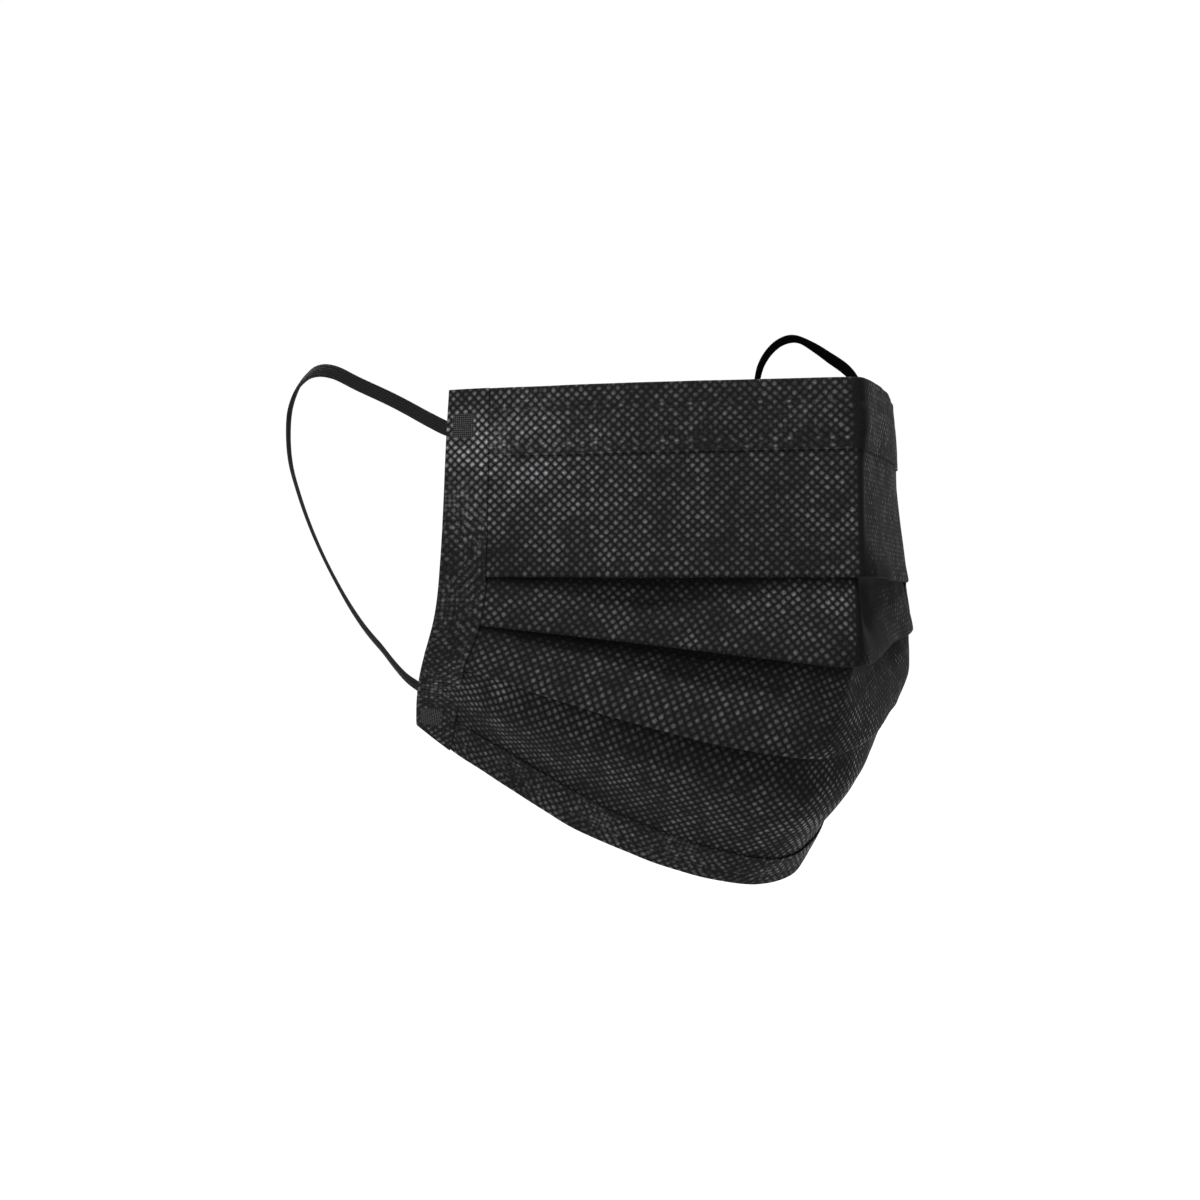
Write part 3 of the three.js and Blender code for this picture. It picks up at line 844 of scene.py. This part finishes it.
panel = {
    "wall": 0.42,
    "columns": 200,
    "tight": 0.45,           # the less, the closer its columns are at the crease
    "sideEdge": 86.2,
    "start": 1.2,            # the panel begins this far below the folded top edge
    "underHem": -0.52,       # depth of the panel under the hems' outer legs
    "turnRadius": 0.42,
    "clearOfFold": 1.2,      # the cloth below a fold comes into view this far under its edge
    "settleOver": 9,         # below the last fold the cloth comes back out over this length
    "chinSwell": 1.3,        # and swells out between there and the hem
    "paintedShade": 0.85,           # painted shade: how much darker the cloth is painted just under a fold
    "creaseBare": ((-1.4, -0.5), (1.5, 3)),  # there are no dots across the crease, which leaves it darker,
    "bareEnds": (52, 60),    # and down to here
    "faceSteps": (30, 34, 30, 34),  # down each of the four faces
    "hemSteps": (16, 12),    # under the top hem and the bottom hem
    "overrun": 0.01,         # of the last leg
    "hiddenSteps": 9,        # along each layer behind a fold
    "turnSteps": 6,
}

# The size of each fold: overlap, the part folded back behind it, at the crease and at the side; pull,
# how far above the fold its edge starts to stand out; then the length over which the cloth is painted
# darker just under it, as painted shade. Then for each side lift, how far the edge stands out, and
# gape, how far the cloth below falls back, both strongest at a place across and fading over a width.
foldNames = "overlap sideOverlap pull shaded".split()
gapeNames = "lift gape strongestAt fadeWidth".split()
foldRows = {
    "foldOne": {"size": (4, 6.5, 9, 2.2), "right": (2.8, 3.8, 44, 13), "left": (2.8, 5.0, 16, 15)},
    "foldTwo": {"size": (4, 6, 9, 2.6), "right": (2.8, 4.4, 27, 27), "left": (1.2, 1.4, 20, 20)},
    "foldThree": {"size": (4, 6, 8, 3.8), "right": (2.6, 3.6, 30, 26), "left": (0.2, -0.4, 24, 30)},
}
gaping = {
    "least": 0.5,            # the cloth below a fold falls back by this wherever the fold is open
    "fromCrease": (0.3, 5),  # the folds open more between these places
    "toBands": (60, 76),     # and are shut again between these
}


def humpAcross(fold, key, across):
    # size exp(-((|across| - place) / width)^2) on each side, nothing at the crease and the side bands
    away = np.abs(across)
    size = np.zeros(len(across))
    for side, part in (("right", across < 0), ("left", across >= 0)):
        values = dict(zip(gapeNames, fold[side]))
        size = np.where(part, values[key] * hill(away, values["strongestAt"], values["fadeWidth"]), size)
    size = size * smoothStep(*gaping["fromCrease"], away)
    least = gaping["least"] if key == "gape" else 0
    return (size + least) * (1 - smoothStep(*gaping["toBands"], away))


def panelPath(look, across):
    # one path for each place across: down the top face to the first fold, back up behind it, down
    # again to the next fold, and so on to the bottom hem. v is the cloth length used by the dots,
    # and the shade is painted shade that darkens the cloth just under a fold.
    folds = [{**row, **dict(zip(foldNames, row["size"]))} for row in foldRows.values()]
    places = [lengthAt(name, across)[:, None] for name in foldRows]
    total = lengthAt("bottomEdge", across)[:, None]
    zero = np.zeros((len(across), 1))
    r = look["turnRadius"]
    parts, vParts, shadeParts = [], [], []

    def leg(fromAlong, toAlong, depthOf, steps, fromV, toV, shadeOf=np.zeros_like):
        # a run from one place along to another, at the depth that depthOf gives
        t = (np.arange(steps) / steps)[None, :]
        along = fromAlong + (toAlong - fromAlong) * t
        parts.append(paired(along, depthOf(along)))
        vParts.append(fromV + (toV - fromV) * t)
        shadeParts.append(shadeOf(along))

    def turn(along, depth, way, fromV, toV):
        # a half circle from a depth to the layer behind it
        half = halfTurn(along[:, 0], depth[:, 0], depth[:, 0] - 2 * r, way, look["turnSteps"])
        parts.append(half[:, :-1])
        t = (np.arange(look["turnSteps"]) / look["turnSteps"])[None, :]
        vParts.append(fromV + (toV - fromV) * t)
        shadeParts.append(np.zeros(vParts[-1].shape))

    def levelDepth(along):
        # flat under the top hem
        return along * 0 + look["underHem"]

    def faceDepth(start, startDepth, fold, place):
        # rises from its start to the fold, and stands out just before it
        lift = humpAcross(fold, "lift", across)[:, None]

        def depthOf(along):
            rising = smoothStep(start, place, along)
            return startDepth * (1 - rising) + lift * smoothStep(-fold["pull"], 0, along - place)
        return depthOf

    def lastDepth(start, startDepth, settled, end):
        # comes back up to the depth under the bottom hem, with a swell on the way
        def depthOf(along):
            rising = smoothStep(start, settled, along)
            swell = np.sin(np.pi * np.clip((along - start) / (end - start), 0, 1)) ** 2
            return startDepth + (look["underHem"] - startDepth) * rising + look["chinSwell"] * swell
        return depthOf

    hem = zero + hemDepths["top"]
    start = zero + look["start"]
    leg(start, hem, levelDepth, look["hemSteps"][0], start, hem)
    depthOf = faceDepth(hem, zero + look["underHem"], folds[0], places[0])
    leg(hem, places[0] - 2 * r, depthOf, look["faceSteps"][0], hem, places[0] - 2 * r)
    v = places[0]
    centreV = levels["foldOne"]["drop"]
    ends = places[1:] + [total]
    for i, (fold, place, end) in enumerate(zip(folds, places, ends)):
        sideShare = np.abs(across)[:, None] / look["sideEdge"]
        overlap = fold["overlap"] + (fold["sideOverlap"] - fold["overlap"]) * sideShare
        upper = place - overlap
        visible = place + look["clearOfFold"]
        gape = humpAcross(fold, "gape", across)[:, None]
        face = depthOf

        def behind(along):
            # the layer folded back behind the face
            return face(along) - 2 * r

        def fartherBehind(along):
            # the layer behind that one, which falls back as it comes out under the fold
            held = np.minimum(along, place)
            return face(held) - 4 * r - gape * smoothStep(upper, visible, along)

        def underFold(along):
            # painted shade: -strength exp(-(d / length)^2) at a length d under the fold's edge
            return -look["paintedShade"] * hill(np.maximum(along, place), place, fold["shaded"])

        turn(place - r, face(place), 1, v - r, v + r)
        leg(place - r, upper, behind, look["hiddenSteps"], v + r, v + overlap)
        turn(upper, behind(upper), -1, v + overlap, v + overlap + 2 * r)
        # the next face starts behind this fold and its dots are counted back from its own fold
        centreV = centreV + 2 * fold["overlap"] + float(np.interp(0, across, (end - place)[:, 0]))
        startV = centreV - (end - visible)
        leg(upper, visible, fartherBehind, look["hiddenSteps"], v + overlap + 2 * r, startV, underFold)
        below = fartherBehind(visible)
        if i + 1 < len(folds):
            depthOf = faceDepth(visible, below, folds[i + 1], end)
            leg(visible, end - 2 * r, depthOf, look["faceSteps"][i + 1], startV, centreV - 2 * r, underFold)
        v = zero + centreV
    hemLine = total - hemDepths["bottom"]
    end = total - look["start"]
    settled = np.minimum(visible + look["settleOver"], hemLine - 1)
    depthOf = lastDepth(visible, below, settled, hemLine - 1)
    hemV = centreV - (total - hemLine)
    leg(visible, hemLine, depthOf, look["faceSteps"][-1], startV, hemV, underFold)
    leg(hemLine, end + look["overrun"], depthOf, look["hemSteps"][1], hemV, centreV - (total - end))
    return [np.concatenate(arrays, axis=1) for arrays in (parts, vParts, shadeParts)]


def makePanel(look):
    # the folded path at each place across, as a shell
    across = columnsAcross(look["columns"], look["sideEdge"], look["tight"])
    path, v, paintedShade = panelPath(look, across)
    outer, inner = layerFaces(path, look["wall"])
    ring = roundTrip(outer, inner)
    points = onSurface(across, ring[..., 0], ring[..., 1] - underBands(across))
    ringV = roundTrip(v, v)
    piece = makeShell("pleatedPanel", points, paired(across[:, None], ringV))
    aboveBareEnd = 1 - smoothStep(*look["bareEnds"], ring[..., 0])
    # painted light on the outer face: the table's painted highlights and shade plus the painted shade under
    # each fold; none on the inner face
    polish = np.maximum(polishAt(across[:, None], outer[..., 0]) + paintedShade, -1)
    setAttributes(
        piece, ringV.shape, polish=roundTrip(polish, polish * 0),
        bare=plateau(*look["creaseBare"], across)[:, None] * aboveBareEnd)
    finishPiece(piece, "pleated_panel", blackSpunbond)
    return piece, v[0, -1]


pleatedPanel, panelEnd = makePanel(panel)   # where its cloth length ends
print("pleated panel made,", len(pleatedPanel.data.polygons), "faces")

topHem = {
    "name": "topHem",
    "node": "top_hem",
    "depth": hemDepths["top"],
    "atBottom": False,
    "weldRows": (
        {"at": 4.4, "pitch": 2.85, "shine": 0.6}, {"at": 11.7, "pitch": 2.85, "shine": 1},
        {"at": 13.2, "pitch": 5.7, "shine": 0.5}),
    "channel": {"height": 0.25, "over": ((5, 6.4), (10, 11.4)), "end": (52, 55)},
    "scramble": 0.12,
    "bareAtCrease": 1,
}
bottomHem = {
    "name": "bottomHem",
    "node": "bottom_hem",
    "depth": hemDepths["bottom"],
    "atBottom": True,
    # the row at 7.9 lies at the hem's edge: a weld line, whose crushed line also serves as a painted shade
    # line along that edge
    "weldRows": ({"at": 3.1, "pitch": 2.85, "shine": 0.4}, {"at": 7.9, "pitch": 5.7, "shine": 0.25}),
    "channel": None,
    "scramble": 0.45,
    "bareAtCrease": 0,
}
hems = {
    "wall": 0.3,
    "columns": 560,
    "tight": 0.7,
    "sideEdge": 86.3,
    "inner": 2 * panel["underHem"],  # depth of the leg inside; the outer leg lies at depth 0
    "legSteps": 30,
    "innerSteps": 14,
    "turnSteps": 8,
    "weldDent": 0.16,
    "leastDent": 0.35,       # share of it between two welds of a row
    "weldWidth": 0.55,
    "dentLength": 0.5,
    "creaseBare": ((-2.4, -1.2), (2.5, 4.5)),
    "beyondPanel": 1.2,      # the bottom edge lies this far past the end of the panel
    "farAway": 50,           # fromEdge where no weld row may show
}


def hemRelief(look, hem, across, fromEdge):
    # dents exp(-(d / width)^2) along each weld row, deepest at every pitch, and a low flat-topped ridge
    # where the nose strip runs
    relief = 0
    for row in hem["weldRows"]:
        nearest = np.round(across / row["pitch"]) * row["pitch"]
        deep = look["leastDent"] + (1 - look["leastDent"]) * hill(across, nearest, look["dentLength"])
        relief = relief - look["weldDent"] * hill(fromEdge, row["at"], look["weldWidth"]) * deep
    channel = hem["channel"]
    if channel:
        over = plateau(*channel["over"], fromEdge) * (1 - smoothStep(*channel["end"], np.abs(across)))
        relief = relief + channel["height"] * over
    return relief


def makeHem(look, hem):
    # a leg outside, a half turn over the edge, a leg inside
    across = columnsAcross(look["columns"], look["sideEdge"], look["tight"])
    zero = np.zeros(len(across))
    radius = abs(look["inner"]) / 2
    leg = np.linspace(hem["depth"], radius, look["legSteps"])[None, :]
    outerLeg = paired(leg, hemRelief(look, hem, across[:, None], leg))
    turn = halfTurn(zero + radius, zero, zero + look["inner"], -1, look["turnSteps"])[:, 1:-1]
    back = np.linspace(radius, hem["depth"], look["innerSteps"])[None, :]
    innerLeg = paired(back, zero[:, None] + look["inner"])
    path = np.concatenate([outerLeg, turn, innerLeg], axis=1)
    ring = roundTrip(*layerFaces(path, look["wall"]))
    along = ring[..., 0]
    turnV = np.linspace(radius, -radius, look["turnSteps"] + 1)[None, 1:-1]
    v = np.concatenate([leg, turnV, -back], axis=1) + zero[:, None]
    if hem["atBottom"]:
        along = lengthAt("bottomEdge", across)[:, None] - along
        v = panelEnd + look["beyondPanel"] - v
    points = onSurface(across, along, ring[..., 1] - underBands(across))
    ringV = roundTrip(v, v)
    piece = makeShell(hem["name"], points, paired(across[:, None], ringV))
    away = np.full((1, path.shape[1] - leg.shape[1]), look["farAway"])
    fromEdge = np.concatenate([leg, away], axis=1) + zero[:, None]
    # with painted highlights and painted shade from the table
    setAttributes(
        piece, ringV.shape, fromEdge=roundTrip(fromEdge, fromEdge),
        scramble=hem["scramble"], polish=polishAt(across[:, None], along),
        bare=hem["bareAtCrease"] * plateau(*look["creaseBare"], across)[:, None])
    material = spunbondMaterial(hem["name"] + "Spunbond", spunbond, hem["weldRows"])
    finishPiece(piece, hem["node"], material)
    return piece


hemPieces = [makeHem(hems, hem) for hem in (topHem, bottomHem)]
print("hems made")

sideBands = {
    "wall": 0.2,
    "reach": 10,             # width of the band on each side of the cloth
    "outer": 0.4,            # depths of its two legs before the edge is pressed flat
    "inner": -2.8,
    "outerFace": (-0.4, 0.2),  # its relief comes in between these depths
    "beyondEnds": 0.15,      # the band runs on this far past the cloth's top and bottom edges
    "rows": 300,
    "legSteps": 34,
    "turnSteps": 10,
    "step": 0.16,            # the pleats below show through as low steps that end at the folds,
    "stepRise": (-7, -0.6),
    "stepFall": (-0.6, 0.8),
    "sag": 0.45,             # and the inner edge sinks in under each fold
    "sagOver": ((-0.6, 1.4), (1.4, 12)),
    "sagFade": 7,            # the outer edge of the band stays straight
    "weldPatches": ({"across": 83.4, "along": 7.6}, {"across": 83.6, "along": 76.2}),
    "patchEnd": (2.25, 2.75),  # a square patch ends between these distances from its middle
    "scrambleFrom": (17, 30),  # the folded pleats behind spoil the dots from here down
}


def makeSideBand(look, name, node, side):
    # outside leg, half turn round the cloth's edge, inside leg, from the top edge to the bottom edge
    centre = (look["outer"] + look["inner"]) / 2
    radius = (look["outer"] - look["inner"]) / 2
    squeezed = cloth["squeezedTo"]
    inset = cloth["halfWidth"] - look["reach"]
    legEnd = cloth["halfWidth"] - radius * squeezed
    leg = np.linspace(inset, legEnd, look["legSteps"])
    angle = np.linspace(0, np.pi, look["turnSteps"] + 1)[1:-1]
    across = np.concatenate([leg, legEnd + radius * squeezed * np.sin(angle), leg[::-1]])
    turned = centre + radius * np.cos(angle)
    depth = np.concatenate([leg * 0 + look["outer"], turned, leg * 0 + look["inner"]])
    path = paired(across, depth * squeezed)
    outer, inner = layerFaces(path, look["wall"])
    outline = np.concatenate([outer, inner[::-1]])
    lengths = runningLength(path)
    u = np.concatenate([lengths, lengths[::-1]]) + inset
    place = outline[:, 0]
    total = lengthAt("bottomEdge", side * place)[:, None]
    t = np.linspace(0, 1, look["rows"])[None, :]
    along = -look["beyondEnds"] + (total + 2 * look["beyondEnds"]) * t
    level = outline[:, 1] / squeezeAt(place)
    isOuter = smoothStep(*look["outerFace"], outline[:, 1])[:, None]
    nearInside = 1 - smoothStep(inset, inset + look["sagFade"], place)[:, None]
    relief = 0
    for levelName in foldRows:
        below = along - lengthAt(levelName, side * place)[:, None]
        ramp = smoothStep(*look["stepRise"], below) - smoothStep(*look["stepFall"], below)
        sag = look["sag"] * plateau(*look["sagOver"], below)
        relief = relief + look["step"] * ramp - sag * nearInside
    points = onSurface(side * place, along, level[:, None] + relief * isOuter / squeezed)
    uv = paired(side * u[:, None], along)
    weld = 0
    for patch in look["weldPatches"]:
        near = np.maximum(np.abs(place[:, None] - patch["across"]), np.abs(along - patch["along"]))
        weld = np.maximum(weld, 1 - smoothStep(*look["patchEnd"], near))
    piece = makeShell(name, points.transpose(1, 0, 2), uv.transpose(1, 0, 2))
    scramble = smoothStep(*look["scrambleFrom"], along)
    # painted highlights and painted shade on the band, from the table
    polish = polishAt(side * place[:, None], along)
    setAttributes(piece, weld.T.shape, weld=weld.T, scramble=scramble.T, polish=polish.T)
    finishPiece(piece, node, pressedSpunbond)
    return piece


bandPieces = [
    makeSideBand(sideBands, "sideBandRight", "side_band_right", -1),
    makeSideBand(sideBands, "sideBandLeft", "side_band_left", 1),
]
print("side bands made")

studio = {
    "floorBelow": 0.25,      # metres below the mask
    "halfSide": 14,
    "pale": (0.4, 0.4, 0.4),
    "roughness": 0.9,
    "gloss": 0.1,
    "white": 1.02,           # what the camera sees of the floor and the surround
    "floorGlow": 1.4,        # what they give the mask: the floor,
    "surround": 0.42,        # the surround near the horizon
    "overhead": 0.14,        # and straight above,
    "between": (0.3, 0.8),   # eased between these heights
}


def seenWhite(tree, glow, look):
    # one strength for what the camera sees and another for the light that is given
    seen = addNode(tree, "ShaderNodeLightPath").outputs["Is Camera Ray"]
    return mixed(tree, seen, glow, look["white"])


def makeStudio(look):
    # a square floor, and a surround that dims towards the top
    low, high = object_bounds()
    floor = low.z - look["floorBelow"]
    x = look["halfSide"] * np.array([-1, 1, 1, -1])
    y = look["halfSide"] * np.array([-1, -1, 1, 1])
    points = np.stack([x, y, x * 0 + floor], axis=-1)
    plane = makeMesh("studioFloor", points, [np.array([[0, 1, 2, 3]])], points[:, :2])
    material, tree, shader = newMaterial("paleFloor", {
        "Base Color": (*look["pale"], 1), "Emission Color": (1, 1, 1, 1),
        "Roughness": look["roughness"], "Specular IOR Level": look["gloss"]})
    tree.links.new(seenWhite(tree, look["floorGlow"], look), shader.inputs["Emission Strength"])
    plane.data.materials.append(material)
    plane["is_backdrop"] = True
    world = bpy.data.worlds.new("whiteSurround")
    world.use_nodes = True
    tree = world.node_tree
    height = axesOf(tree, addNode(tree, "ShaderNodeTexCoord").outputs["Generated"])["Z"]
    glow = ease(tree, height, *look["between"], look["surround"], look["overhead"])
    tree.nodes["Background"].inputs["Color"].default_value = (1, 1, 1, 1)
    tree.links.new(seenWhite(tree, glow, look), tree.nodes["Background"].inputs["Strength"])
    bpy.context.scene.world = world
    bpy.context.scene.view_settings.view_transform = "Standard"


makeStudio(studio)

# Soft boxes: place and side in metres, power in watts.
softBoxes = {
    "key": {"at": (-0.62, -0.72, 1.25), "side": 0.4, "power": 50},
    "left": {"at": (-1.25, -0.25, 0.5), "side": 0.4, "power": 18},
    "farSide": {"at": (0.85, 0.1, 1.4), "side": 0.3, "power": 40},
    "behind": {"at": (0.1, 1.3, 0.8), "side": 0.7, "power": 18},
}


def makeLights(boxes):
    # each box turned so that its -Z points at the middle of the mask
    aim = (cadLow + cadHigh) / 2
    for name, box in boxes.items():
        data = bpy.data.lights.new(name, "AREA")
        data.shape = "SQUARE"
        data.size = box["side"]
        data.energy = box["power"]
        lamp = addObject(name, data)
        lamp.location = box["at"]
        lamp.rotation_euler = (aim - Vector(box["at"])).to_track_quat("-Z", "Y").to_euler()


makeLights(softBoxes)
print("studio made")
